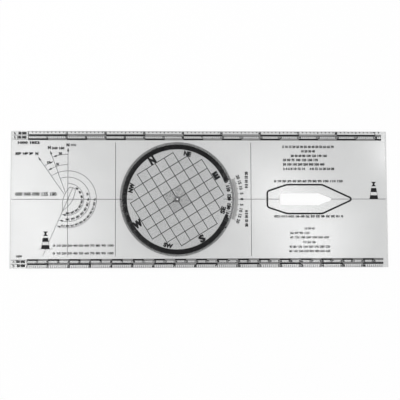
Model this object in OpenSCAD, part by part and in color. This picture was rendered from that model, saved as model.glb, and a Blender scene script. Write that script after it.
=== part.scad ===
// Course plotter: a clear base plate with map scales on its long edges, and a clear
// compass dial that turns on a hollow eyelet. Millimetres, +X along the plate, +Z up.
// The origin is the middle of the plate's underside. All print lies on the top faces.

/* [Base plate] */
// Length of the base plate
plate_length = 361; // [350:1:400]
// Width of the base plate
plate_width = 131; // [130:1:150]
// Thickness of the base plate
plate_thickness = 2.0; // [1.8:0.1:4]
// Width of the bevel along the two short ends
end_bevel = 1.2; // [0.4:0.1:1.6]
// Height of the edge wall left under the end bevel
end_wall = 1.2; // [0.8:0.1:1.6]
// Width of the fine bevel along the two long edges
side_bevel = 0.25; // [0.1:0.05:0.3]

/* [Pencil slot] */
// Distance from the boat outline's square end to the slot's square end
slot_from_stern = 13.2; // [10:0.2:16]
// Length of the straight part of the slot
slot_straight = 37.1; // [24:0.1:38]
// Length of the pointed part of the slot, before its point is rounded
slot_nose = 14.8; // [12:0.2:16]
// Width of the slot
slot_width = 11.6; // [8:0.2:16]
// Radius of the slot's two square corners
slot_corner = 2.4; // [1:0.1:3.5]
// Radius of the slot's shoulders, where its nose starts
slot_shoulder = 2; // [1:0.5:6]
// Radius of the slot's point
slot_point = 1.4; // [0.8:0.1:3]

/* [Dial] */
// Distance from a long edge of the plate to the dial's rim
dial_margin = 10.5; // [10:0.1:14]
// Thickness of the dial
dial_thickness = 1.5; // [1:0.1:3]
// Width and height of the bevel round the dial's top edge
dial_bevel = 0.3; // [0.1:0.05:0.6]
// Distance of the dial's axis from the middle of the plate
dial_offset = 22; // [20:0.5:26]
// Degrees that the dial reads at its index, on the right
dial_reading = 121.7; // [0:0.1:359.9]
// Gap between the base plate and the dial
dial_gap = 0.25; // [0.15:0.05:0.5]

/* [Eyelet] */
// Diameter of the eyelet's pencil hole
pencil_hole = 1.5; // [1.2:0.1:2.2]
// Wall thickness of the eyelet's barrel
barrel_wall = 0.6; // [0.3:0.05:0.8]
// Outer diameter of the eyelet's rolled head
head_diameter = 4.9; // [4.6:0.1:6]
// Outer diameter of the eyelet's closed foot
foot_diameter = 4.5; // [4.2:0.1:5]
// Outer diameter of the washer
washer_diameter = 5.8; // [5.4:0.1:7]
// Thickness of the washer
washer_thickness = 0.3; // [0.2:0.05:0.4]
// Height of the closed foot under the washer
foot_height = 0.4; // [0.3:0.05:0.5]
// Height of the empty space between the foot and the table
foot_clearance = 0.15; // [0.1:0.05:0.2]
// Radial clearance of each hole round the eyelet's barrel
running_clearance = 0.05; // [0.02:0.01:0.1]
// Gap between the dial's top face and the eyelet's head
head_gap = 0.1; // [0.06:0.01:0.2]
// Radial clearance of the recess round the washer
recess_clearance = 0.3; // [0.2:0.05:0.6]

/* [Print] */
// Thickness of the printed ink
ink = 0.05; // [0.03:0.01:0.08]
// Width of the thinnest drawn lines
hairline = 0.4; // [0.2:0.05:0.5]
// Width of the guide lines
guide_line = 0.45; // [0.3:0.05:0.6]
// Width of the fine lines that join rows of ticks
join_line = 0.15; // [0.1:0.05:0.25]
// Clear margin between print and a plate's edge
print_margin = 0.35; // [0.3:0.05:0.5]
// Reach of the centre line inside the black ring, on the left
inner_line_reach = 5.5; // [3:0.5:8]
// Reach of the centre line inside the reading window
window_line_reach = 3.8; // [2:0.2:6]

/* [Map scales] */
// Larger map scale, one to this number
large_map_scale = 50000; // [45000:1000:60000]
// Smaller map scale, one to this number
small_map_scale = 100000; // [90000:1000:120000]
// Distance from the plate's left end to the scales' zero
scale_zero = 16.6; // [12:0.1:20]
// Distance from the scales' other end to the plate's right end
scale_end = 5; // [2:0.1:20]
// Distance from a long edge to the middle of the outer scale bar
outer_bar = 4.05; // [3.8:0.05:4.4]
// Distance between the middles of the outer and the inner scale bars
bar_pitch = 3.88; // [3.6:0.02:4.2]
// Width of the outer scale bar
outer_bar_width = 1.75; // [1.3:0.05:1.9]
// Width of the inner scale bar
inner_bar_width = 1.75; // [1.2:0.05:1.8]
// Width of the lines that frame a hollow stretch of a bar
bar_frame = 0.5; // [0.3:0.05:0.6]
// Width of a scale tick, as a share of the distance between ticks
tick_share = 0.25; // [0.1:0.01:0.3]
// Width of the upright lines where the stretches of a bar meet
stretch_line = 0.7; // [0.4:0.05:0.8]
// Length of the short ticks
short_tick = 1.3; // [0.8:0.1:1.6]
// Length of the long ticks, which mark every fifth
long_tick = 1.7; // [1.5:0.1:1.8]
// Length of the even ticks of the outer kilometre scale
kilometre_tick = 2.2; // [1.3:0.1:2.4]

/* [Degree ring and index ring] */
// Width of the band of one-degree ticks at the dial's rim
rim_ticks = 1.8; // [1.5:0.1:2.2]
// Width of a one-degree tick
degree_tick = 0.55; // [0.3:0.05:0.6]
// Length of the five-degree ticks inside the black ring
five_degree_tick = 1.2; // [0.8:0.1:1.6]
// Length of the lines halfway between the four main points
half_point_line = 4.6; // [3:0.1:5]
// Width of the black index ring on the base plate
ring_width = 4.7; // [3:0.1:5]
// Half angle of the reading window in the black ring
window_angle = 20; // [10:1:40]
// Width of the grey variation band
variation_width = 3.0; // [2:0.1:3.4]
// Gap between the dial's rim and the variation band
variation_gap = 0.1; // [0.05:0.05:0.5]
// Length of the ticks on the variation band's outer edge
variation_tick = 1.2; // [0.6:0.1:2]
// Gap between the dial's bevel and the rim ticks, and between these and the black ring
rim_gap = 0.15; // [0.1:0.05:0.3]
// Largest variation that the band shows, each way
variation_limit = 20; // [10:5:30]

/* [Dial grid] */
// Pitch of the grid lines
grid_pitch = 10; // [5:0.1:12]
// Width of the grid lines
grid_line = 0.65; // [0.3:0.05:0.7]
// Clear ring between the grid's corners and the black ring
grid_margin = 3.1; // [2:0.1:3.3]
// Radius of the dot on the grid's west line, beside the eyelet
west_dot = 0.55; // [0.3:0.05:0.8]
// Clear circle round the eyelet's head
eyelet_clearance = 0.4; // [0.3:0.05:1]

/* [Panels and outlines] */
// Distance from the dial's rim to the left panel line
left_panel = 3.8; // [2:0.1:6]
// Distance from the dial's rim to the right panel line
right_panel = 15.8; // [6:0.1:18]
// Gap between each end of a panel line and the inner scale bar
panel_gap = 2.4; // [1:0.1:4]
// Distance that the boat outline sits right of the middle, between the panel line and the mark
boat_shift = 0.5; // [-4:0.1:4]
// Length of the boat outline from its square end to its sharp bow, before it is rounded
boat_length = 85.9; // [80:0.1:90]
// Length from the boat outline's square end to the widest part
boat_run = 19.5; // [15:0.5:24]
// Length of the boat outline's widest part
boat_middle = 34.5; // [28:0.5:38]
// Half width of the boat outline at its square end
boat_stern = 8.2; // [7:0.1:9]
// Half width of the boat outline amidships
boat_beam = 14.7; // [13:0.1:16]
// Radius of the boat outline's two square corners
boat_corner = 3.6; // [2:0.1:5]
// Radius of the boat outline's four shoulders
boat_shoulder = 9; // [4:0.5:12]
// Radius of the boat outline's bow
boat_bow = 2.6; // [2:0.1:4]
// Line width of the boat outline
boat_line = 1.6; // [0.8:0.05:1.7]
// Height of the two small sea marks
mark_height = 16.4; // [14:0.1:17]
// Distance from the plate's right end to the middle of the right sea mark
right_mark_from_end = 13.1; // [11:0.1:15]
// Distance from the diagram's centre to the middle of the left sea mark
left_mark_from_diagram = 20.7; // [20:0.1:22]
// Height of the left sea mark's foot above the lower end of the panel lines
left_mark_rise = 7.4; // [6.5:0.1:8]
// Length of the ground line under the left sea mark
ground_line = 14; // [10:0.5:16]

/* [Three-north diagram] */
// Share of the left panel's length that lies left of the diagram's centre
diagram_share = 0.546; // [0.45:0.002:0.6]
// Lean of the compass north arrow to the left of true north, in degrees
compass_lean = 20.1; // [15:0.1:25]
// Lean of the magnetic north arrow to the left of true north, in degrees
magnetic_lean = 35; // [30:0.1:40]
// Course of the small ship's bow, clockwise from true north, in degrees
course = 203.4; // [195:0.1:210]
// Radius of the smallest course arc
arc_radius = 15.2; // [14:0.1:16]
// Step in radius from one course arc to the next
arc_step = 6.0; // [5:0.1:6.2]
// Step from the largest course arc to the arc from true to magnetic north
variation_arc_step = 6.1; // [5:0.1:7]
// Step from there to the arc from magnetic to compass north
deviation_arc_step = 5.4; // [4:0.1:6]
// Step from there to the arc from true to compass north
total_arc_step = 4.3; // [4:0.1:5]
// Step from there to the tips of the north arrows
north_tip_step = 6.6; // [5:0.1:8]
// Length of an arrowhead
arrow_head = 3.8; // [2:0.1:4]
// Width of an arrowhead
arrow_width = 2.0; // [1:0.1:2.2]
// Length of the small ship, bow to stern
ship_length = 24.4; // [20:0.1:26]
// Width of the small ship
ship_width = 9.2; // [7:0.1:11]

/* [Hidden] */
$fn = 96;
eps = 0.01;

// Heights
dial_bottom = plate_thickness + dial_gap;
dial_top = dial_bottom + dial_thickness;
recess_depth = foot_clearance + foot_height + washer_thickness;

// Eyelet and holes
bore_radius = pencil_hole / 2;
barrel_radius = bore_radius + barrel_wall;
pivot_hole_radius = barrel_radius + running_clearance;
recess_radius = washer_diameter / 2 + recess_clearance;

// Dial print
dial_radius = plate_width / 2 - dial_margin;
rim_tick_outer = dial_radius - dial_bevel - rim_gap;
rim_tick_inner = rim_tick_outer - rim_ticks;
degree_line_inner = rim_tick_inner - join_line;
ring_outer = rim_tick_inner - rim_gap;
ring_inner = ring_outer - ring_width;
variation_inner = dial_radius + variation_gap;
variation_outer = variation_inner + variation_width;
clear_radius = head_diameter / 2 + eyelet_clearance;
west_dot_at = clear_radius + 2 * west_dot;
grid_lines_each_way = floor((ring_inner - grid_margin) / grid_pitch);

// Scales
kilometre = 1000000;
nautical_mile = 1852000;
scale_left = scale_zero - plate_length / 2;
scale_length = plate_length - scale_zero - scale_end;
outer_row = plate_width / 2 - outer_bar;
inner_row = outer_row - bar_pitch;
panel_reach = inner_row - inner_bar_width / 2 - panel_gap;

// Panels
left_panel_x = -dial_offset - dial_radius - left_panel;
right_panel_x = dial_radius - dial_offset + right_panel;

// Sea marks, measured from the middle of a mark's foot
mark_steps = [0, 0.19, 0.42, 0.635, 0.735, 0.865, 1] * mark_height;
mark_half_foot = 0.25 * mark_height;
mark_half_head = 0.15 * mark_height;
mark_half_cone = 0.14 * mark_height;
mark_half_waist = 0.035 * mark_height;
left_mark_at = [-left_mark_from_diagram, left_mark_rise - panel_reach];
right_mark_x = plate_length / 2 - right_mark_from_end;

// Boat outline and slot
boat_middle_x = (right_panel_x + right_mark_x - mark_half_foot) / 2 + boat_shift;
boat_left = boat_middle_x - boat_length / 2;
slot_left = boat_left + slot_from_stern;
slot_tip = slot_left + slot_straight + slot_nose;

// Three-north diagram, measured from its centre
diagram_x = (diagram_share - 1) * plate_length / 2 + diagram_share * left_panel_x;
variation_arc = arc_radius + 2 * arc_step + variation_arc_step;
deviation_arc = variation_arc + deviation_arc_step;
total_arc = deviation_arc + total_arc_step;
north_tip = total_arc + north_tip_step;
line_foot = panel_reach - print_margin;
course_reach = -line_foot / cos(course);

function polar(radius, angle) = radius * [cos(angle), sin(angle)];
function compass(radius, bearing) = polar(radius, 90 - bearing);
function arc_points(radius, from, to, step = 3) =
    let (count = max(1, ceil(abs(to - from) / step)))
    [for (i = [0:count]) polar(radius, from + (to - from) * i / count)];
function backwards(list) = [for (i = [len(list) - 1:-1:0]) list[i]];
function unit(v) = v / norm(v);
function turn(from, to) = let (d = to - from) d - 360 * round(d / 360);

// The points of one rounded corner, between the corner before it and the one after it
function rounded_corner(before, corner, after, radius) =
    let (
        back = unit(before - corner),
        ahead = unit(after - corner),
        half_angle = acos(back * ahead) / 2,
        centre = corner + unit(back + ahead) * radius / sin(half_angle),
        start = corner + back * radius / tan(half_angle) - centre,
        end = corner + ahead * radius / tan(half_angle) - centre,
        from = atan2(start.y, start.x),
        sweep = turn(from, atan2(end.y, end.x)),
        count = max(2, ceil(abs(sweep) / 10))
    )
    [for (i = [0:count]) centre + polar(radius, from + sweep * i / count)];

function rounded(corners, radii) =
    let (n = len(corners))
    [for (i = [0:n - 1]) each rounded_corner(
        corners[(i + n - 1) % n], corners[i], corners[(i + 1) % n], radii[i]
    )];

module printed(height) translate([0, 0, height]) linear_extrude(ink) children();
module on_base() printed(plate_thickness) children();
module on_dial() translate([-dial_offset, 0]) rotate(dial_reading - 90) printed(dial_top) children();
module at_dial() translate([-dial_offset, 0]) children();
module at_diagram() translate([diagram_x, 0]) children();

// A band along an arc, from one angle to another, anticlockwise
module arc_band(inner, outer, from, to) {
    polygon(concat(arc_points(outer, from, to), backwards(arc_points(inner, from, to))));
}

// A straight line of a given width
module line(from, to, width) {
    along = (to - from) / norm(to - from);
    across = [-along.y, along.x] * width / 2;
    polygon([from + across, from - across, to - across, to + across]);
}

// An arrowhead with its tip at a point, that points along an angle
module arrow_tip(tip, angle) {
    back = tip - polar(arrow_head, angle);
    side = polar(arrow_width / 2, angle + 90);
    polygon([tip, back + side, back - side]);
}

// Half the width of a scale tick: each tenth is an upright line, where two stretches meet
function tick_half(i, pitch) = (i % 10 == 0 ? stretch_line : tick_share * pitch) / 2;

// A row of ticks on a thin line: the line runs along +X under them and they stand towards +Y.
// Each fifth tick is long, and each tenth runs on into the scale bar
module bar_ticks(length, pitch, short, to_bar) {
    count = floor(length / pitch + eps);
    teeth = [
        for (i = [0:count], corner = [0:3])
        let (
            half = tick_half(i, pitch),
            reach = i % 10 == 0 ? to_bar + bar_frame / 2 : i % 5 == 0 ? max(short, long_tick) : short
        )
        [i * pitch + (corner < 2 ? -half : half), corner == 1 || corner == 2 ? reach : 0]
    ];
    polygon(concat(
        [[-tick_half(0, pitch), -join_line]],
        teeth,
        [[count * pitch + tick_half(count, pitch), -join_line]]
    ));
}

// A scale bar, black and hollow in turn, along +X and centred on Y. It starts black at 0,
// and a frame line runs left from it under the row's label
module scale_bar(length, segment, width, label) {
    count = ceil(length / segment);
    difference() {
        union() {
            translate([0, -width / 2]) square([length, width]);
            translate([-label, -hairline / 2]) square([label + eps, hairline]);
        }
        for (i = [1:2:count - 1])
            translate([i * segment + bar_frame / 2, bar_frame - width / 2])
                square([
                    min(segment, length - i * segment) - bar_frame,
                    width - 2 * bar_frame
                ]);
    }
}

// Base plate: a clear sheet with bevelled edges
module plate_blank() {
    half_length = plate_length / 2;
    half_width = plate_width / 2;
    side_wall = plate_thickness - side_bevel;
    intersection() {
        rotate([90, 0, 0]) linear_extrude(plate_width + 2, center = true) polygon([
            [-half_length, 0], [half_length, 0],
            [half_length, end_wall], [half_length - end_bevel, plate_thickness],
            [end_bevel - half_length, plate_thickness], [-half_length, end_wall]
        ]);
        rotate([90, 0, 90]) linear_extrude(plate_length + 2, center = true) polygon([
            [-half_width, 0], [half_width, 0],
            [half_width, side_wall], [half_width - side_bevel, plate_thickness],
            [side_bevel - half_width, plate_thickness], [-half_width, side_wall]
        ]);
    }
}

module slot_outline() {
    half = slot_width / 2;
    shoulder = slot_tip - slot_nose;
    polygon(rounded(
        [[slot_left, half], [slot_left, -half], [shoulder, -half], [slot_tip, 0], [shoulder, half]],
        [slot_corner, slot_corner, slot_shoulder, slot_point, slot_shoulder]
    ));
}

module base_plate() {
    color("gainsboro", 0.5) difference() {
        plate_blank();
        translate([0, 0, -1]) linear_extrude(plate_thickness + 2) slot_outline();
        at_dial() translate([0, 0, -1]) cylinder(h = plate_thickness + 2, r = pivot_hole_radius);
        at_dial() translate([0, 0, -1]) cylinder(h = recess_depth + 1, r = recess_radius);
    }
}

// Map scales: miles along the far edge, kilometres along the near one
module outer_scale(distance) {
    segment = distance / large_map_scale;
    scale_bar(scale_length, segment, outer_bar_width, scale_zero - end_bevel - print_margin);
    base = outer_bar - print_margin - join_line;
    short = distance == kilometre ? kilometre_tick : short_tick;
    translate([0, base]) mirror([0, 1])
        bar_ticks(scale_length, segment / 10, short, base - outer_bar_width / 2);
}

module inner_scale(distance) {
    segment = distance / small_map_scale;
    scale_bar(scale_length, segment, inner_bar_width, scale_zero - end_bevel - print_margin);
    base = bar_pitch - outer_bar_width / 2 - 2 * join_line;
    translate([0, base]) mirror([0, 1])
        bar_ticks(scale_length, segment / 10, short_tick, base - inner_bar_width / 2);
}

module mile_scale_50000() {
    color("black") on_base() translate([scale_left, outer_row]) outer_scale(nautical_mile);
}

module mile_scale_100000() {
    color("black") on_base() translate([scale_left, inner_row]) inner_scale(nautical_mile);
}

module kilometre_scale_50000() {
    color("black") on_base() translate([scale_left, -outer_row]) mirror([0, 1]) outer_scale(kilometre);
}

module kilometre_scale_100000() {
    color("black") on_base() translate([scale_left, -inner_row]) mirror([0, 1]) inner_scale(kilometre);
}

// Lines that cross another print stop at its edge
module centre_line_strokes() {
    right_end = plate_length / 2 - end_bevel - print_margin;
    window_start = ring_inner - window_line_reach - dial_offset;
    left_stop = inner_line_reach - ring_inner - dial_offset;
    translate([-right_end, -guide_line / 2]) square([right_end + left_stop, guide_line]);
    translate([window_start, -guide_line / 2])
        square([dial_radius - dial_offset - window_start, guide_line]);
    variation_edge = variation_outer + variation_tick - dial_offset;
    translate([variation_edge, -guide_line / 2]) square([right_end - variation_edge, guide_line]);
}

module centre_line() {
    color("dimgray") on_base() difference() {
        centre_line_strokes();
        boat_outline_strokes();
        index_ring_shape();
        panel_line_strokes();
        at_diagram() north_line_strokes();
        at_diagram() course_arc_strokes();
        at_diagram() ship_strokes();
        at_diagram() course_line_strokes();
        translate([slot_left - print_margin, -slot_width / 2])
            square([slot_tip - slot_left + 2 * print_margin, slot_width]);
    }
}

module panel_line_strokes() {
    for (x = [left_panel_x, right_panel_x])
        translate([x - guide_line / 2, -panel_reach]) square([guide_line, 2 * panel_reach]);
}

module panel_lines() {
    color("gray") on_base() panel_line_strokes();
}

// Black index ring under the dial's rim, with the reading window on the right
module index_ring_shape() {
    at_dial() arc_band(ring_inner, ring_outer, window_angle, 360 - window_angle);
}

module index_ring() {
    color("black") on_base() index_ring_shape();
}

// Variation band beside the window, with a tick at each five degrees
module variation_band() {
    color("darkgray") on_base() at_dial()
        arc_band(variation_inner, variation_outer, -variation_limit, variation_limit);
}

module variation_ticks() {
    half = hairline / 2;
    teeth = [
        for (i = [-variation_limit:5:variation_limit], corner = [0:3])
        let (
            reach = variation_outer + (corner == 1 || corner == 2 ? variation_tick : join_line),
            side = corner < 2 ? -half : half
        )
        polar(reach, i + side * 180 / PI / variation_outer)
    ];
    edge = backwards(arc_points(variation_outer, -variation_limit, variation_limit, 1));
    color("dimgray") on_base() at_dial() polygon(concat(teeth, edge));
}

// Pointed boat outline round the slot
module boat_shape() {
    shoulder = boat_run + boat_middle;
    polygon(rounded(
        [
            [0, boat_stern], [boat_run, boat_beam], [shoulder, boat_beam], [boat_length, 0],
            [shoulder, -boat_beam], [boat_run, -boat_beam], [0, -boat_stern]
        ],
        [
            boat_corner, boat_shoulder, boat_shoulder, boat_bow,
            boat_shoulder, boat_shoulder, boat_corner
        ]
    ));
}

module boat_outline_strokes() {
    translate([boat_left, 0]) difference() {
        boat_shape();
        offset(delta = -boat_line) boat_shape();
    }
}

module boat_outline() {
    color("black") on_base() boat_outline_strokes();
}

// Small sea mark: a banded tower with two cones point to point on top
function tower_half(y) =
    mark_half_foot + (mark_half_head - mark_half_foot) * y / mark_steps[3];

module tower_band(low, high) {
    polygon([
        [-tower_half(low), low], [tower_half(low), low],
        [tower_half(high), high], [-tower_half(high), high]
    ]);
}

module mark_shape() {
    tower_band(mark_steps[0], mark_steps[1]);
    tower_band(mark_steps[2], mark_steps[3]);
    polygon([
        [-mark_half_cone, mark_steps[4]], [mark_half_cone, mark_steps[4]],
        [mark_half_waist, mark_steps[5]], [mark_half_cone, mark_steps[6]],
        [-mark_half_cone, mark_steps[6]], [-mark_half_waist, mark_steps[5]]
    ]);
}

module band_shape() {
    tower_band(mark_steps[1], mark_steps[2]);
}

module ground_stroke() {
    translate([-ground_line / 2, -hairline]) square([ground_line, hairline + eps]);
}

module left_mark() {
    color("black") on_base() at_diagram() translate(left_mark_at) {
        mark_shape();
        ground_stroke();
    }
}

module right_mark() {
    color("black") on_base() translate([right_mark_x, guide_line / 2]) mark_shape();
}

module mark_bands() {
    color("white") on_base() {
        at_diagram() translate(left_mark_at) band_shape();
        translate([right_mark_x, guide_line / 2]) band_shape();
    }
}

// Three-north diagram: true, compass and magnetic north, and the bearing arcs between them
module north_stroke(lean) {
    line([0, 0], compass(north_tip - arrow_head / 2, -lean), hairline);
    arrow_tip(compass(north_tip, -lean), 90 + lean);
}

// True north runs on through the ship, and the other two stop at its side
module north_line_strokes() {
    difference() {
        union() {
            north_stroke(0);
            line([0, 0], [0, -line_foot], hairline);
        }
        ship_strokes();
    }
    difference() {
        union() {
            north_stroke(compass_lean);
            north_stroke(magnetic_lean);
        }
        ship_hull();
        line([0, 0], [0, north_tip], hairline);
    }
}

module north_arrows() {
    color("dimgray") on_base() at_diagram() difference() {
        north_line_strokes();
        north_arc_strokes();
        course_arc_strokes();
    }
}

// An arc with an arrowhead, whose tip stops a hairline short of the line it points at. The arc
// itself ends inside the arrowhead
module arc_arrow(radius, from, to) {
    way = sign(to - from);
    tip = to - way * hairline * 180 / PI / radius;
    stop = tip - way * arrow_head / 2 * 180 / PI / radius;
    arc_band(radius - hairline / 2, radius + hairline / 2, min(from, stop), max(from, stop));
    arrow_tip(polar(radius, tip), tip + way * (90 - arrow_head * 90 / PI / radius));
}

module north_arc_strokes() {
    arc_arrow(variation_arc, 90, 90 + magnetic_lean);
    arc_arrow(deviation_arc, 90 + magnetic_lean, 90 + compass_lean);
    arc_arrow(total_arc, 90, 90 + compass_lean);
}

module north_arcs() {
    color("dimgray") on_base() at_diagram() north_arc_strokes();
}

module course_arc_strokes() {
    stop = 90 - course;
    arc_arrow(arc_radius, 90, stop);
    arc_arrow(arc_radius + arc_step, 90 + compass_lean, stop);
    arc_arrow(arc_radius + 2 * arc_step, 90 + magnetic_lean, stop);
}

module course_arcs() {
    color("dimgray") on_base() at_diagram() course_arc_strokes();
}

// Ship's outline along its course, with a pointed bow and a rounded stern
module ship_hull() {
    half_length = ship_length / 2;
    half_width = ship_width / 2;
    stern_join = -0.1 * half_length;
    bow = [
        for (t = [0:1/8:1])
        [half_length + (stern_join - half_length) * t, half_width * sin(90 * t)]
    ];
    stern = [
        for (a = [105:15:165])
        [stern_join + (half_length + stern_join) * cos(a), half_width * sqrt(sin(a))]
    ];
    side = concat(bow, stern);
    other_side = [for (i = [len(side) - 1:-1:1]) [side[i].x, -side[i].y]];
    rotate(90 - course) polygon(concat(side, [[-half_length, 0]], other_side));
}

module ship_strokes() {
    difference() {
        ship_hull();
        offset(delta = -hairline) ship_hull();
    }
}

module ship_outline() {
    color("dimgray") on_base() at_diagram() ship_strokes();
}

module course_line_strokes() {
    difference() {
        line(compass(-ship_length / 2, course), compass(course_reach, course), hairline);
        ship_strokes();
        line([0, -line_foot], [0, north_tip], hairline);
        translate(left_mark_at) {
            tower_band(mark_steps[0], mark_steps[3]);
            ground_stroke();
        }
    }
}

module course_line() {
    color("dimgray") on_base() at_diagram() difference() {
        course_line_strokes();
        course_arc_strokes();
    }
}

// Hollow eyelet: its rolled head lies over the dial and its foot is closed over the washer
module eyelet() {
    head_roll = (head_diameter / 2 - bore_radius) / 2;
    head_seat = dial_top + head_gap;
    foot_seat = recess_depth - washer_thickness;
    foot_mid = (foot_diameter / 2 + bore_radius) / 2;
    foot_roll = (foot_diameter / 2 - bore_radius) / 2;
    color("dimgray") at_dial() rotate_extrude() polygon(concat(
        [[barrel_radius, foot_seat], [barrel_radius, head_seat]],
        [for (a = [0:12:180]) [bore_radius + head_roll, head_seat] + polar(head_roll, a)],
        [for (a = [180:15:360])
            [foot_mid + foot_roll * cos(a), foot_seat + foot_height * sin(a)]]
    ));
}

module eyelet_washer() {
    color("silver") at_dial() translate([0, 0, recess_depth - washer_thickness]) difference() {
        cylinder(h = washer_thickness, d = washer_diameter);
        translate([0, 0, -1]) cylinder(h = washer_thickness + 2, r = pivot_hole_radius);
    }
}

// Clear dial with a bevelled top edge
module dial() {
    color("lightgray", 0.5) at_dial() rotate_extrude() polygon([
        [pivot_hole_radius, dial_bottom], [dial_radius, dial_bottom],
        [dial_radius, dial_top - dial_bevel], [dial_radius - dial_bevel, dial_top],
        [pivot_hole_radius, dial_top]
    ]);
}

// Dial grid: each line stops at the last crossing inside the black ring, so the outline is stepped
function line_reach(i) =
    let (half_chord = sqrt((ring_inner - grid_margin) ^ 2 - (i * grid_pitch) ^ 2))
    floor(half_chord / grid_pitch) * grid_pitch + grid_line / 2;

module grid_lines() {
    for (i = [-grid_lines_each_way:grid_lines_each_way]) {
        reach = line_reach(i);
        translate([i * grid_pitch - grid_line / 2, -reach]) square([grid_line, 2 * reach]);
        translate([-reach, i * grid_pitch - grid_line / 2]) square([2 * reach, grid_line]);
    }
}

module west_dot_shape() {
    translate([-west_dot_at, 0]) circle(r = west_dot);
}

module dial_grid() {
    color("dimgray") on_dial() {
        difference() {
            grid_lines();
            circle(r = clear_radius);
        }
        west_dot_shape();
    }
}

// Darker tint in the four squares round the eyelet
module centre_tint() {
    color("darkgray") on_dial() difference() {
        for (x = [-1, 1], y = [-1, 1])
            translate([x, y] * grid_pitch / 2)
                square(grid_pitch - grid_line, center = true);
        circle(r = clear_radius);
        west_dot_shape();
    }
}

// Degree ring: one-degree ticks stand outwards at the rim, and five-degree ticks point inwards
function degree_corner(step, corner, base, tip) =
    let (radius = corner == 1 || corner == 2 ? tip : base)
    polar(radius, step + (corner < 2 ? -1 : 1) * degree_tick / 2 * 180 / PI / radius);

module degree_ring() {
    rim_teeth = [
        for (step = [0:359], corner = [0:3])
        degree_corner(step, corner, rim_tick_inner, rim_tick_outer)
    ];
    inner_teeth = [
        for (step = [0:359], corner = [0:3])
        if (step % 5 == 0 || corner == 0)
        let (reach = step % 90 == 45 ? half_point_line : five_degree_tick)
        degree_corner(step, corner, degree_line_inner, degree_line_inner - reach)
    ];
    rim_count = len(rim_teeth);
    color("black") on_dial() polygon(
        concat(rim_teeth, inner_teeth),
        [
            [for (i = [0:rim_count - 1]) i],
            [for (i = [0:len(inner_teeth) - 1]) rim_count + i]
        ]
    );
}

base_plate();
mile_scale_50000();
mile_scale_100000();
kilometre_scale_100000();
kilometre_scale_50000();
centre_line();
panel_lines();
index_ring();
variation_band();
variation_ticks();
boat_outline();
north_arrows();
north_arcs();
course_arcs();
course_line();
ship_outline();
left_mark();
right_mark();
mark_bands();
eyelet();
eyelet_washer();
dial();
dial_grid();
centre_tint();
degree_ring();
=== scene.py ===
import math

import bpy
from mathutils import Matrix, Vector


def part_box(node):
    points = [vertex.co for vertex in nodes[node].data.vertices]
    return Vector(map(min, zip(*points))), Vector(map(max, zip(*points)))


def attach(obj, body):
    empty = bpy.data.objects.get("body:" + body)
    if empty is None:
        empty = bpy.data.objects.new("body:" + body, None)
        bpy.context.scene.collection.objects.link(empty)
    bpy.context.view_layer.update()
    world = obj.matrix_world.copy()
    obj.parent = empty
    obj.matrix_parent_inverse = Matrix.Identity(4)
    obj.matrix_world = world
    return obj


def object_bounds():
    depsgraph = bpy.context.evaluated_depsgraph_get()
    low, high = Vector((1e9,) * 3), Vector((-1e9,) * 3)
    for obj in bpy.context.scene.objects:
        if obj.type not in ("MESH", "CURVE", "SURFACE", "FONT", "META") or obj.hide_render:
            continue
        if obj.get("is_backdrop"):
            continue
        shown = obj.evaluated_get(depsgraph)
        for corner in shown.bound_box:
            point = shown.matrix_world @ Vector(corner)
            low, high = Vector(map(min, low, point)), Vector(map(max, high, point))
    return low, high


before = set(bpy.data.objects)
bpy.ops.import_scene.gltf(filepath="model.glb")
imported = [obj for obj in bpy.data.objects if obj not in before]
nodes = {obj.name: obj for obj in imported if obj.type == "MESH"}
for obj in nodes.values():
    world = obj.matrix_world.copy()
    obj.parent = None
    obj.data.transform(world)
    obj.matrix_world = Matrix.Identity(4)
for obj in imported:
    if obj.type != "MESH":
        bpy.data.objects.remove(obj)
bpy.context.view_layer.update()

# One millimetre in the frame's metres. The sizes and places of all prints are in mm
MM = 0.001

# Materials

# Sockets of the Mix node in its colour mode
MIX_FACTOR, FIRST_COLOUR, SECOND_COLOUR, MIXED_COLOUR = 0, 6, 7, 2

NOISE_ROUGHNESS = 0.55

# Most of a noise lies between these two values
NOISE_LOW, NOISE_HIGH = 0.3, 0.7

INK_IOR, INK_SPECULAR = 1.45, 0.3
INK_ROUGHNESS = 0.45, 0.7
PLASTIC_IOR = 1.49
PLASTIC_ROUGHNESS = 0.02, 0.05
METAL_ROUGHNESS = 0.22, 0.42
SCRATCH_STRETCH, SCRATCH_TURN = (0.03, 3, 1), 12


def new_material(name):
    material = bpy.data.materials.new(name)
    material.use_nodes = True
    tree = material.node_tree
    tree.nodes.clear()
    output = tree.nodes.new("ShaderNodeOutputMaterial")
    return material, tree, output


def add(tree, kind, **settings):
    """Adds a node: a setting is one of its properties or, failing that, one of its inputs."""
    node = tree.nodes.new(kind)
    for key, value in settings.items():
        if hasattr(node, key):
            setattr(node, key, value)
        else:
            node.inputs[key].default_value = value
    return node


def object_coordinates(tree, stretch, turn):
    coordinates = add(tree, "ShaderNodeTexCoord")
    mapping = add(tree, "ShaderNodeMapping")
    mapping.inputs["Scale"].default_value = stretch
    mapping.inputs["Rotation"].default_value = (0, 0, math.radians(turn))
    tree.links.new(coordinates.outputs["Object"], mapping.inputs["Vector"])
    return mapping.outputs["Vector"]


def noise(tree, scale, detail, stretch=(1, 1, 1), turn=0):
    texture = add(
        tree, "ShaderNodeTexNoise", Scale=scale, Detail=detail, Roughness=NOISE_ROUGHNESS
    )
    tree.links.new(object_coordinates(tree, stretch, turn), texture.inputs["Vector"])
    return texture.outputs["Fac"]


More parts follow.
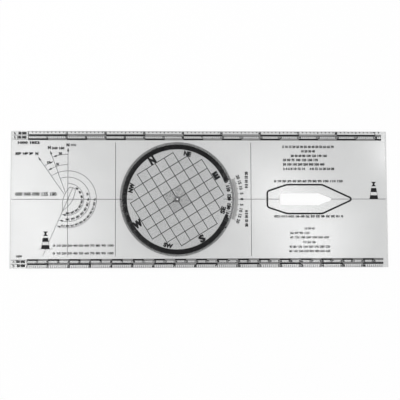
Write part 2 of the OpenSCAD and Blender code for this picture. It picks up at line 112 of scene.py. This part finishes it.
def remap(tree, value, low, high, start=NOISE_LOW, end=NOISE_HIGH):
    """Turns a value from start to end into one from low to high."""
    node = add(tree, "ShaderNodeMapRange")
    node.inputs["From Min"].default_value = start
    node.inputs["From Max"].default_value = end
    node.inputs["To Min"].default_value = low
    node.inputs["To Max"].default_value = high
    tree.links.new(value, node.inputs["Value"])
    return node.outputs["Result"]


def blend_colours(tree, factor, first, second):
    node = add(tree, "ShaderNodeMix", data_type="RGBA")
    node.inputs[FIRST_COLOUR].default_value = (*first, 1)
    node.inputs[SECOND_COLOUR].default_value = (*second, 1)
    tree.links.new(factor, node.inputs[MIX_FACTOR])
    return node.outputs[MIXED_COLOUR]


def bumped(tree, height, strength, distance):
    node = add(tree, "ShaderNodeBump", Strength=strength, Distance=distance)
    tree.links.new(height, node.inputs["Height"])
    return node.outputs["Normal"]


def connect(tree, shader, output, colour, roughness, normal):
    tree.links.new(colour, shader.inputs["Base Color"])
    tree.links.new(roughness, shader.inputs["Roughness"])
    tree.links.new(normal, shader.inputs["Normal"])
    tree.links.new(shader.outputs["BSDF"], output.inputs["Surface"])


def ink_material(name, dark, light, alpha=1.0):
    """Printed ink: slightly uneven in tone, with a fine grain."""
    material, tree, output = new_material(name)
    shader = add(tree, "ShaderNodeBsdfPrincipled", Alpha=alpha)
    shader.inputs["IOR"].default_value = INK_IOR
    shader.inputs["Specular IOR Level"].default_value = INK_SPECULAR
    patches = remap(tree, noise(tree, scale=160, detail=4), 0, 1)
    colour = blend_colours(tree, patches, dark, light)
    roughness = remap(tree, noise(tree, scale=420, detail=3), *INK_ROUGHNESS)
    grain = noise(tree, scale=5200, detail=2)
    normal = bumped(tree, grain, strength=0.15, distance=0.02 * MM)
    connect(tree, shader, output, colour, roughness, normal)
    return material


def clear_material(name, dark, light, clearness=1.0):
    """Clear plastic sheet: polished, with a haze of handling marks and long fine scratches."""
    material, tree, output = new_material(name)
    shader = add(tree, "ShaderNodeBsdfPrincipled")
    shader.inputs["IOR"].default_value = PLASTIC_IOR
    shader.inputs["Transmission Weight"].default_value = clearness
    haze = remap(tree, noise(tree, scale=22, detail=4), 0, 1)
    colour = blend_colours(tree, haze, dark, light)
    roughness = remap(tree, noise(tree, scale=45, detail=5), *PLASTIC_ROUGHNESS)
    scratches = noise(tree, scale=300, detail=2, stretch=SCRATCH_STRETCH, turn=SCRATCH_TURN)
    normal = bumped(tree, scratches, strength=0.02, distance=0.01 * MM)
    connect(tree, shader, output, colour, roughness, normal)
    return material


def metal_material(name, dark, light):
    """Plated metal, dulled in patches and finely pitted."""
    material, tree, output = new_material(name)
    shader = add(tree, "ShaderNodeBsdfPrincipled", Metallic=1.0)
    patches = remap(tree, noise(tree, scale=700, detail=4), 0, 1)
    colour = blend_colours(tree, patches, dark, light)
    roughness = remap(tree, noise(tree, scale=1500, detail=3), *METAL_ROUGHNESS)
    pits = noise(tree, scale=9000, detail=2)
    normal = bumped(tree, pits, strength=0.2, distance=0.02 * MM)
    connect(tree, shader, output, colour, roughness, normal)
    return material


BLACK_INK = ink_material("black_ink", (0.006, 0.006, 0.007), (0.012, 0.012, 0.013))
GREY_INK = ink_material("grey_ink", (0.012, 0.012, 0.013), (0.024, 0.024, 0.025))
BAND_INK = ink_material("band_ink", (0.41, 0.41, 0.41), (0.46, 0.46, 0.46))
FILL_INK = ink_material("fill_ink", (0.28, 0.28, 0.28), (0.32, 0.32, 0.32))
# A see-through dark grey layer over the middle of the dial, which makes that middle darker
CENTRE_DARK_LAYER = ink_material("tint_ink", (0.10, 0.10, 0.10), (0.14, 0.14, 0.14), alpha=0.2)
WHITE_INK = ink_material("white_ink", (0.88, 0.88, 0.87), (0.94, 0.94, 0.93), alpha=0.12)
PLATE = clear_material("clear_plate", (0.725, 0.73, 0.73), (0.765, 0.77, 0.77), clearness=0.88)
DIAL = clear_material("clear_dial", (0.88, 0.885, 0.885), (0.91, 0.915, 0.915))
EYELET = metal_material("eyelet_metal", (0.16, 0.16, 0.165), (0.24, 0.24, 0.245))
WASHER = metal_material("washer_metal", (0.35, 0.35, 0.36), (0.45, 0.45, 0.46))

NODE_MATERIALS = {
    "base_plate": PLATE,
    "dial": DIAL,
    "eyelet": EYELET,
    "eyelet_washer": WASHER,
    "mile_scale_50000": BLACK_INK,
    "mile_scale_100000": BLACK_INK,
    "kilometre_scale_100000": BLACK_INK,
    "kilometre_scale_50000": BLACK_INK,
    "centre_line": GREY_INK,
    "panel_lines": GREY_INK,
    "index_ring": BLACK_INK,
    "variation_band": BAND_INK,
    "variation_ticks": GREY_INK,
    "boat_outline": BLACK_INK,
    "north_arrows": GREY_INK,
    "north_arcs": GREY_INK,
    "course_arcs": GREY_INK,
    "course_line": GREY_INK,
    "ship_outline": GREY_INK,
    "left_mark": BLACK_INK,
    "right_mark": BLACK_INK,
    "mark_bands": WHITE_INK,
    "dial_grid": GREY_INK,
    "centre_tint": CENTRE_DARK_LAYER,
    "degree_ring": BLACK_INK,
}
for node_name, material in NODE_MATERIALS.items():
    mesh = nodes[node_name].data
    mesh.materials.clear()
    mesh.materials.append(material)

# Prints: numbers, letters and flat shapes with the height of the printed layers

BASE_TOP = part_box("base_plate")[1].z
DIAL_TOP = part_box("dial")[1].z
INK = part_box("index_ring")[1].z - BASE_TOP

# Text is first made this high on each side of its middle plane, in font units
GLYPH_HALF = 0.5


def glyph_mesh(text, weight=0.0):
    """Solid mesh of a line of text in font units. Weight is what its strokes gain on each side."""
    curve = bpy.data.curves.new("glyphs", "FONT")
    curve.body = text
    curve.resolution_u = 2
    curve.offset = weight
    curve.extrude = GLYPH_HALF
    item = bpy.data.objects.new("glyphs", curve)
    bpy.context.scene.collection.objects.link(item)
    bpy.context.view_layer.update()
    graph = bpy.context.evaluated_depsgraph_get()
    mesh = bpy.data.meshes.new_from_object(item.evaluated_get(graph))
    bpy.data.objects.remove(item)
    bpy.data.curves.remove(curve)
    return mesh


def extent(mesh, axis):
    """Lowest and highest place of a mesh along an axis: 0 is across and 1 is up the text."""
    values = [v.co[axis] for v in mesh.vertices]
    return min(values), max(values)


def glyph_height(text):
    low, high = extent(glyph_mesh(text), 1)
    return high - low


DIGIT_HEIGHT = glyph_height("0")
CAPITAL_HEIGHT = glyph_height("N")

# A row of numbers may be this much too wide for its place, and is then squeezed into it
ROW_SQUEEZE = 1.04

DOT_SIDES = 24


def number_row(first, step, width, height):
    """Plain numbers in even steps, as many as fill a width at their natural spacing."""
    def natural_width(text):
        left, right = extent(glyph_mesh(text), 0)
        return (right - left) * height / DIGIT_HEIGHT

    text = str(first)
    value = first + step
    while natural_width(f"{text} {value}") < ROW_SQUEEZE * width:
        text = f"{text} {value}"
        value += step
    return text


def rectangle(left, right, low, high):
    return [(left, low), (right, low), (right, high), (left, high)]


class Print:
    """One layer of printed numbers, letters or shapes, gathered into one piece."""

    def __init__(self, name, body, floor, material, slot):
        self.name = name
        self.body = body
        self.floor = floor
        self.material = material
        self.slot = slot
        self.vertices = []
        self.faces = []

    def add(self, text, x, y, height, up=90.0, weight=0.0, width=None,
            full_height=DIGIT_HEIGHT, squeeze=1.0):
        """Centres text on x, y, with the tops of its figures towards the angle up.

        Height is that of a figure or capital, which is full_height high in font units. The text
        is squeezed across to a share of its natural width, or to a given width.
        """
        mesh = glyph_mesh(text, weight)
        left, right = extent(mesh, 0)
        bottom, top = extent(mesh, 1)
        size = height / full_height
        stretch = size * squeeze if width is None else width / (right - left)
        middle_x = (right + left) / 2
        middle_y = (top + bottom) / 2
        turn = math.radians(up - 90)
        cos, sin = math.cos(turn), math.sin(turn)
        start = len(self.vertices)
        for v in mesh.vertices:
            across = (v.co.x - middle_x) * stretch
            along = (v.co.y - middle_y) * size
            self.vertices.append((
                (x + across * cos - along * sin) * MM,
                (y + across * sin + along * cos) * MM,
                self.floor + (v.co.z + GLYPH_HALF) * INK,
            ))
        for polygon in mesh.polygons:
            self.faces.append([start + i for i in polygon.vertices])
        bpy.data.meshes.remove(mesh)

    def add_shape(self, outer, inner=None):
        """A flat shape in an outline of points, or a frame where there is an inner outline too."""
        start, n = len(self.vertices), len(outer)
        for outline in (outer, inner) if inner else (outer,):
            for z in (self.floor, self.floor + INK):
                self.vertices += [(x * MM, y * MM, z) for x, y in outline]
        bottom, top = start, start + n
        if not inner:
            self.faces.append([bottom + i for i in reversed(range(n))])
            self.faces.append([top + i for i in range(n)])
        for i in range(n):
            j = (i + 1) % n
            self.faces.append([bottom + i, bottom + j, top + j, top + i])
            if inner:
                low, high = bottom + 2 * n, top + 2 * n
                self.faces.append([low + j, low + i, high + i, high + j])
                self.faces.append([top + i, top + j, high + j, high + i])
                self.faces.append([bottom + j, bottom + i, low + i, low + j])

    def add_disc(self, x, y, radius):
        """A printed dot, centred on x, y."""
        turns = [2 * math.pi * i / DOT_SIDES for i in range(DOT_SIDES)]
        self.add_shape([(x + radius * math.cos(t), y + radius * math.sin(t)) for t in turns])

    def finish(self):
        mesh = bpy.data.meshes.new(self.name)
        mesh.from_pydata(self.vertices, [], self.faces)
        mesh.validate()
        mesh.materials.append(self.material)
        item = bpy.data.objects.new(self.name, mesh)
        bpy.context.scene.collection.objects.link(item)
        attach(item, self.body)


def on_base(name, material=BLACK_INK, slot="black_ink"):
    return Print(name, "base", BASE_TOP, material, slot)


def on_dial(name, floor=DIAL_TOP):
    return Print(name, "compass_dial", floor, BLACK_INK, "black_ink")


# Middles of the dial and of the diagram of the norths, on the plate's centre line
DIAL_X = -22.0
DIAGRAM_X = -126.1

# The dial's north at rest: an angle from +X, anticlockwise
NORTH = 121.7


def round_point(middle, radius, angle):
    """Point at a radius and an angle round a middle on the plate's centre line."""
    turn = math.radians(angle)
    return middle + radius * math.cos(turn), radius * math.sin(turn)


# Degree numbers round the dial, clockwise
DEGREE_RADIUS, DEGREE_HEIGHT, DEGREE_STEP = 49.7, 2.9, 10
degrees = on_dial("degree_numbers")
for value in range(0, 360, DEGREE_STEP):
    angle = NORTH - value
    place = round_point(DIAL_X, DEGREE_RADIUS, angle)
    degrees.add(str(value), *place, DEGREE_HEIGHT, up=angle, weight=0.09)
degrees.finish()

# Compass letters: the bearing and radius of their middle, height, squeeze, weight of their
# strokes, and the bearing that their tops point to
COMPASS_LETTERS = (
    ("N", -1.0, 43.9, 6.2, 0.83, 0.085, 0),
    ("E", 90.4, 43.4, 6.05, 1.1, 0.085, 0),
    ("S", 179.7, 44.35, 5.9, 1.36, 0.065, 0),
    ("W", 269.4, 44.3, 5.9, 0.82, 0.095, 0),
    ("NE", 44.4, 44.5, 3.95, 0.9, 0.08, 45),
    ("SE", 135.4, 44.9, 3.75, 1.26, 0.065, -45),
    ("SW", 222.8, 45.0, 3.6, 1.04, 0.08, 45),
    ("NW", 315.7, 44.9, 3.75, 0.88, 0.085, -45),
)
letters = on_dial("compass_letters")
for name, bearing, radius, height, squeeze, weight, top_bearing in COMPASS_LETTERS:
    letters.add(
        name, *round_point(DIAL_X, radius, NORTH - bearing), height, up=NORTH - top_bearing,
        weight=weight, full_height=CAPITAL_HEIGHT, squeeze=squeeze,
    )
letters.finish()

# Small dot on the dial's rim, and a second pass of ink on the dot beside the eyelet
RIM_DOT_RADIUS, RIM_DOT_ANGLE, RIM_DOT_SIZE = 53.4, -30.4, 0.65
WEST_DOT_RADIUS, WEST_DOT_SIZE = 4.0, 0.8
WEST_DOT_LIFT = INK / 4
dot = on_dial("rim_dot")
dot.add_disc(*round_point(DIAL_X, RIM_DOT_RADIUS, RIM_DOT_ANGLE), RIM_DOT_SIZE)
dot.finish()
west = on_dial("west_dot", DIAL_TOP + WEST_DOT_LIFT)
west.add_disc(*round_point(DIAL_X, WEST_DOT_RADIUS, NORTH + 90), WEST_DOT_SIZE)
west.finish()

# Variation numbers, from the centre line up and down
VARIATION_RADIUS, VARIATION_HEIGHT = 61.9, 2.9
VARIATION_END, VARIATION_STEP = 20, 5
variation = on_base("variation_numbers")
for value in range(-VARIATION_END, VARIATION_END + 1, VARIATION_STEP):
    place = round_point(DIAL_X, VARIATION_RADIUS, value)
    variation.add(str(abs(value)), *place, VARIATION_HEIGHT, up=value, weight=0.045)
variation.finish()

# Numbers on the four map scales: two figures stand on either side of their upright line, and a
# single figure stands left of it
SCALE_ZERO = -163.9
SCALE_LENGTH = 339.4
MILE, KILOMETRE = 37.04, 20.0
FIGURE_PLACES = -1.15, 1.15

# Their rows: pitch, count, height up the plate, height of a figure, place of a single figure
MILE_ROWS = (
    (MILE, 9, 63.7, 2.1, -1.2),
    (MILE / 2, 18, 59.4, 1.7, -1.0),
)
KILOMETRE_ROWS = (
    (KILOMETRE, 16, -63.6, 2.1, -1.0),
    (KILOMETRE / 2, 33, -59.4, 1.7, -1.0),
)
for name, number_rows in (("mile_numbers", MILE_ROWS), ("kilometre_numbers", KILOMETRE_ROWS)):
    numbers = on_base(name)
    for pitch, count, y, height, single_place in number_rows:
        for value in range(1, count + 1):
            figures = str(value)
            places = (single_place,) if len(figures) == 1 else FIGURE_PLACES
            for figure, place in zip(figures, places):
                numbers.add(figure, SCALE_ZERO + value * pitch + place, y, height, weight=0.07)
    numbers.finish()

# Usual height of the figures on the plate
TEXT_HEIGHT = 2.1

# Plain numbers that name each scale: text, left end and height up the plate
RATIO_LABELS = (
    ("50 000", -173.4, 63.3),
    ("100 000", -174.4, 59.4),
    ("100 000", -174.4, -59.1),
    ("50 000", -173.4, -63.0),
)
ONE_X, ONE_HEIGHT, RATIO_RIGHT = -176.4, 2.0, -165.6

# Plain numbers inside the scales: text, place, height, width and weight
LENGTH_LABELS = (
    ("1000 1852", -163.4, 54.2, 2.2, 21, 0.065),
    ("1000", -171.4, -54.0, 2.0, None, 0.05),
)
ratios = on_base("scale_ratios")
for text, left, y in RATIO_LABELS:
    ratios.add("1:", ONE_X, y, ONE_HEIGHT, weight=0.075)
    width = RATIO_RIGHT - left
    ratios.add(text, (left + RATIO_RIGHT) / 2, y, TEXT_HEIGHT, width=width, weight=0.085)
for text, x, y, height, width, weight in LENGTH_LABELS:
    ratios.add(text, x, y, height, width=width, weight=weight)
ratios.finish()

# Number tables of the right panel: first number, step, height up the plate, left and right ends
TABLE_ROWS = (
    (5, 5, 50.5, 79.3, 129.3),
    (10, 10, 46.2, 97.5, 111.0),
    (20, 20, 41.8, 87.3, 122.5),
    (25, 25, 37.7, 79.7, 113.8),
    (50, 50, 33.5, 79.7, 120.0),
    (2, 2, 29.2, 79.7, 101.0),
    (4, 4, 29.2, 105.4, 129.3),
    (15, 15, -28.2, 100.0, 109.7),
    (30, 30, -32.5, 86.0, 104.7),
    (60, 60, -36.6, 86.0, 123.4),
    (12, 12, -41.2, 98.8, 110.6),
    (40, 40, -45.6, 85.0, 124.5),
    (80, 80, -49.8, 85.0, 124.5),
)
UPPER_WEIGHT, LOWER_WEIGHT = 0.065, 0.035
table = on_base("number_table")
for first, step, y, left, right in TABLE_ROWS:
    width = right - left
    text = number_row(first, step, width, TEXT_HEIGHT)
    weight = UPPER_WEIGHT if y > 0 else LOWER_WEIGHT
    table.add(text, (left + right) / 2, y, TEXT_HEIGHT, width=width, weight=weight)
table.finish()

# Number rows along the slot, as height up the plate and the angle of their tops: the lower one
# is upside down. Two more beside the dial have their tops to the left
SLOT_ROW = "0 10 20 30 40 50 60 70 80 90 100 110 120"
SLOT_ROW_X, SLOT_ROW_WIDTH = 104.2, 66.5
SLOT_ROW_PLACES = (17.3, 90), (-16.6, 270)
SIDE_X, SIDE_Y, SIDE_HEIGHT, SIDE_WIDTH = 44.3, 18.5, 2.4, 16
rows = on_base("slot_numbers")
for y, up in SLOT_ROW_PLACES:
    rows.add(SLOT_ROW, SLOT_ROW_X, y, TEXT_HEIGHT, up=up, width=SLOT_ROW_WIDTH, weight=0.055)
for text, y in (("0 5 10 15 20", SIDE_Y), ("20 15 10 5 0", -SIDE_Y)):
    rows.add(text, SIDE_X, y, SIDE_HEIGHT, up=180, width=SIDE_WIDTH, weight=0.085)
rows.finish()

# Diagram of the norths: a letter at each north arrow, and the bearings beside the arrows and
# in the arcs, as text, place, width and weight
NORTH_LETTERS = (-126.2, 52.1), (-143.9, 49.5), (-155.6, 43.7)
NORTH_HEIGHT = 2.5
BEARINGS = (
    ("000", -121.0, 52.0, 5.4, 0.03),
    ("340 160", -135.5, 49.0, 12.0, 0.07),
    ("325 145 35", -167.6, 43.7, 17.0, 0.09),
    ("20", -133.4, 43.9, 3.4, 0.07),
    ("15", -144.5, 35.2, 2.8, 0.07),
    ("35", -136.0, 33.7, 2.8, 0.07),
)
diagram = on_base("diagram_numbers")
for x, y in NORTH_LETTERS:
    diagram.add("N", x, y, NORTH_HEIGHT, weight=0.08, full_height=CAPITAL_HEIGHT)
for text, x, y, width, weight in BEARINGS:
    diagram.add(text, x, y, TEXT_HEIGHT, width=width, weight=weight)

# Bearings along the three course arcs: radius, first bearing, step and height
ARC_NUMBERS = (13.4, 40, 20, 1.8), (19.2, 75, 15, 1.8), (25.4, 90, 10, 1.7)
LAST_ARC_BEARING = 190
for radius, first, step, height in ARC_NUMBERS:
    for value in range(first, LAST_ARC_BEARING + 1, step):
        angle = 90 - value
        place = round_point(DIAGRAM_X, radius, angle)
        diagram.add(str(value), *place, height, up=angle, weight=0.07)

# Bearings in the title's place, and two rows under the diagram
TITLE_ROW = "000 045 090 135 180"
TITLE_X, TITLE_Y, TITLE_HEIGHT, TITLE_WIDTH = -156.2, 5.0, 3.3, 39.2
LOWER_ROW = "0 10 20 30 40 50 60 70 80 90 100"
LOWER_ROW_X, LOWER_ROW_WIDTH = -111.1, 57.5
LOWER_ROW_HEIGHTS = -44.0, -51.3
diagram.add(TITLE_ROW, TITLE_X, TITLE_Y, TITLE_HEIGHT, width=TITLE_WIDTH, weight=0.04)
for y in LOWER_ROW_HEIGHTS:
    diagram.add(LOWER_ROW, LOWER_ROW_X, y, TEXT_HEIGHT, width=LOWER_ROW_WIDTH, weight=0.045)
diagram.finish()

# Grey fill of each hollow stretch of the four scale bars, with a thin gap to its frame
BAR_WIDTH, BAR_FRAME = 1.75, 0.5
FILL_GAP = 0.02
SCALE_PITCHES = {
    "mile_scale_50000": MILE,
    "mile_scale_100000": MILE / 2,
    "kilometre_scale_100000": KILOMETRE / 2,
    "kilometre_scale_50000": KILOMETRE,
}
fills = on_base("scale_fills", FILL_INK, "grey_ink")
half_fill = BAR_WIDTH / 2 - BAR_FRAME - FILL_GAP
end_inset = BAR_FRAME / 2 + FILL_GAP
for node_name, pitch in SCALE_PITCHES.items():
    box_low, box_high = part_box(node_name)
    if box_low.y > 0:
        y = box_low.y / MM + BAR_WIDTH / 2
    else:
        y = box_high.y / MM - BAR_WIDTH / 2
    for start in range(1, math.ceil(SCALE_LENGTH / pitch), 2):
        left = SCALE_ZERO + start * pitch + end_inset
        right = SCALE_ZERO + min((start + 1) * pitch, SCALE_LENGTH) - end_inset
        fills.add_shape(rectangle(left, right, y - half_fill, y + half_fill))
fills.finish()

# Frames round the clear bands of the two sea marks, printed over the first ink. The band's ends
# and the tower's taper are shares of the mark's height
MARK_HEIGHT = 16.4
BAND_LOW, BAND_HIGH = 0.19, 0.42
FOOT_HALF, TOP_LOSS, TOWER_SHARE = 0.25, 0.1, 0.635
BOTTOM_STRIP, TOP_STRIP, SIDE_STRIP = 0.33, 0.38, 0.25


def tower_outline(middle, foot, low, high, inset):
    """Outline of the tapered tower between two heights, drawn in from its sides by inset."""
    def half(y):
        return (FOOT_HALF - TOP_LOSS * (y - foot) / (TOWER_SHARE * MARK_HEIGHT)) * MARK_HEIGHT

    return [
        (middle - half(low) + inset, low),
        (middle + half(low) - inset, low),
        (middle + half(high) - inset, high),
        (middle - half(high) + inset, high),
    ]


frames = Print("mark_frames", "base", BASE_TOP + INK, BLACK_INK, "black_ink")
for node_name in ("left_mark", "right_mark"):
    box_low, box_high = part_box(node_name)
    middle = (box_low.x + box_high.x) / 2 / MM
    foot = box_high.y / MM - MARK_HEIGHT
    low, high = foot + BAND_LOW * MARK_HEIGHT, foot + BAND_HIGH * MARK_HEIGHT
    frames.add_shape(
        tower_outline(middle, foot, low, high, 0),
        tower_outline(middle, foot, low + BOTTOM_STRIP, high - TOP_STRIP, SIDE_STRIP),
    )
frames.finish()

# The centre line's start at the slot's point
TIP_LEFT, TIP_RIGHT, TIP_HALF = 126.5, 129.0, 0.22
tip = on_base("slot_tip_line", GREY_INK, "grey_ink")
tip.add_shape(rectangle(TIP_LEFT, TIP_RIGHT, -TIP_HALF, TIP_HALF))
tip.finish()

# Floor, light and camera

# The floor lies just under the plate. Seen by the camera, in reflections and through the
# plastic, most of it is white in itself, and the rest takes the object's shadow
FLOOR_Z = -0.0002
FLOOR_REACH = 6.0
FLOOR_COLOUR = (0.95, 0.95, 0.95, 1)
FLOOR_GLOW_SHARE = 0.93

# The world's brightness falls from the horizon to a dim ceiling, by the height of a direction
HORIZON_LEVEL, CEILING_LEVEL = 1.05, 0.06
FALL_START, FALL_END = 0.72, 0.9

# Soft glows on the ceiling: direction from the plate, spread and strength
GLOWS = (
    ((-0.209, 0.113), 0.056, 2.9),
    ((0.131, 0.079), 0.033, 3.0),
    ((0.292, 0.129), 0.022, 5.9),
    ((-0.165, 0.010), 0.056, 3.4),
    ((0.175, 0.010), 0.040, 3.9),
)

KEY_PLACE, KEY_AIM = (-0.9, 0.7, 0.9), (0, 0, 0)
KEY_SIDE, KEY_WATTS = 1.2, 7.5

CAMERA_LENS, CAMERA_SENSOR = 72, 36
CAMERA_PLACE = (-0.02640, -0.05111, 0.76486)
CAMERA_TURN = (3.7777, -1.9545, -0.1792)


def add_floor():
    mesh = bpy.data.meshes.new("floor")
    corners = rectangle(-FLOOR_REACH, FLOOR_REACH, -FLOOR_REACH, FLOOR_REACH)
    mesh.from_pydata([(x, y, FLOOR_Z) for x, y in corners], [], [(0, 1, 2, 3)])
    item = bpy.data.objects.new("floor", mesh)
    bpy.context.scene.collection.objects.link(item)
    material, tree, output = new_material("floor_white")
    diffuse = add(tree, "ShaderNodeBsdfDiffuse", Color=FLOOR_COLOUR)
    light = add(tree, "ShaderNodeEmission", Strength=1.0)
    path = add(tree, "ShaderNodeLightPath")
    seen = add(tree, "ShaderNodeMath", operation="MAXIMUM")
    through = add(tree, "ShaderNodeMath", operation="MAXIMUM")
    tree.links.new(path.outputs["Is Camera Ray"], seen.inputs[0])
    tree.links.new(path.outputs["Is Glossy Ray"], seen.inputs[1])
    tree.links.new(seen.outputs[0], through.inputs[0])
    tree.links.new(path.outputs["Is Transmission Ray"], through.inputs[1])
    share = add(tree, "ShaderNodeMath", operation="MULTIPLY")
    share.inputs[1].default_value = FLOOR_GLOW_SHARE
    tree.links.new(through.outputs[0], share.inputs[0])
    mix = add(tree, "ShaderNodeMixShader")
    tree.links.new(share.outputs[0], mix.inputs[0])
    tree.links.new(diffuse.outputs[0], mix.inputs[1])
    tree.links.new(light.outputs[0], mix.inputs[2])
    tree.links.new(mix.outputs[0], output.inputs["Surface"])
    mesh.materials.append(material)
    item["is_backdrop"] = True


def add_glow(tree, direction, level, across, along, spread, strength):
    """Adds one round glow to a level of light: it falls off as a bell curve of the angle."""
    dot = add(tree, "ShaderNodeVectorMath", operation="DOT_PRODUCT")
    dot.inputs[1].default_value = Vector((across, along, 1)).normalized()
    tree.links.new(direction, dot.inputs[0])
    fall = add(tree, "ShaderNodeMath", operation="MULTIPLY_ADD")
    fall.inputs[1].default_value = spread ** -2
    fall.inputs[2].default_value = math.log(strength) - spread ** -2
    tree.links.new(dot.outputs["Value"], fall.inputs[0])
    glow = add(tree, "ShaderNodeMath", operation="EXPONENT")
    tree.links.new(fall.outputs[0], glow.inputs[0])
    total = add(tree, "ShaderNodeMath", operation="ADD")
    tree.links.new(level, total.inputs[0])
    tree.links.new(glow.outputs[0], total.inputs[1])
    return total.outputs[0]


def add_world():
    """A white studio with a dim ceiling and a few soft glows on it."""
    world = bpy.data.worlds.new("studio")
    bpy.context.scene.world = world
    world.use_nodes = True
    tree = world.node_tree
    tree.nodes.clear()
    output = tree.nodes.new("ShaderNodeOutputWorld")
    direction = add(tree, "ShaderNodeTexCoord").outputs["Generated"]
    split = add(tree, "ShaderNodeSeparateXYZ")
    tree.links.new(direction, split.inputs[0])
    level = remap(
        tree, split.outputs["Z"], HORIZON_LEVEL, CEILING_LEVEL, start=FALL_START, end=FALL_END
    )
    for (across, along), spread, strength in GLOWS:
        level = add_glow(tree, direction, level, across, along, spread, strength)
    background = add(tree, "ShaderNodeBackground")
    background.inputs["Color"].default_value = (1, 1, 1, 1)
    tree.links.new(level, background.inputs["Strength"])
    tree.links.new(background.outputs[0], output.inputs["Surface"])


def add_softbox():
    light = bpy.data.lights.new("key_softbox", "AREA")
    light.shape = "SQUARE"
    light.size = KEY_SIDE
    light.energy = KEY_WATTS
    item = bpy.data.objects.new("key_softbox", light)
    item.location = KEY_PLACE
    direction = Vector(KEY_AIM) - Vector(KEY_PLACE)
    item.rotation_euler = direction.to_track_quat("-Z", "Y").to_euler()
    bpy.context.scene.collection.objects.link(item)


def add_camera():
    camera = bpy.data.cameras.new("camera")
    camera.lens = CAMERA_LENS
    camera.sensor_width = CAMERA_SENSOR
    item = bpy.data.objects.new("camera", camera)
    bpy.context.scene.collection.objects.link(item)
    item.location = CAMERA_PLACE
    item.rotation_euler = [math.radians(a) for a in CAMERA_TURN]
    bpy.context.scene.camera = item


add_floor()
add_world()
add_softbox()
add_camera()

bpy.context.scene.view_settings.view_transform = "Standard"

low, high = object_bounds()
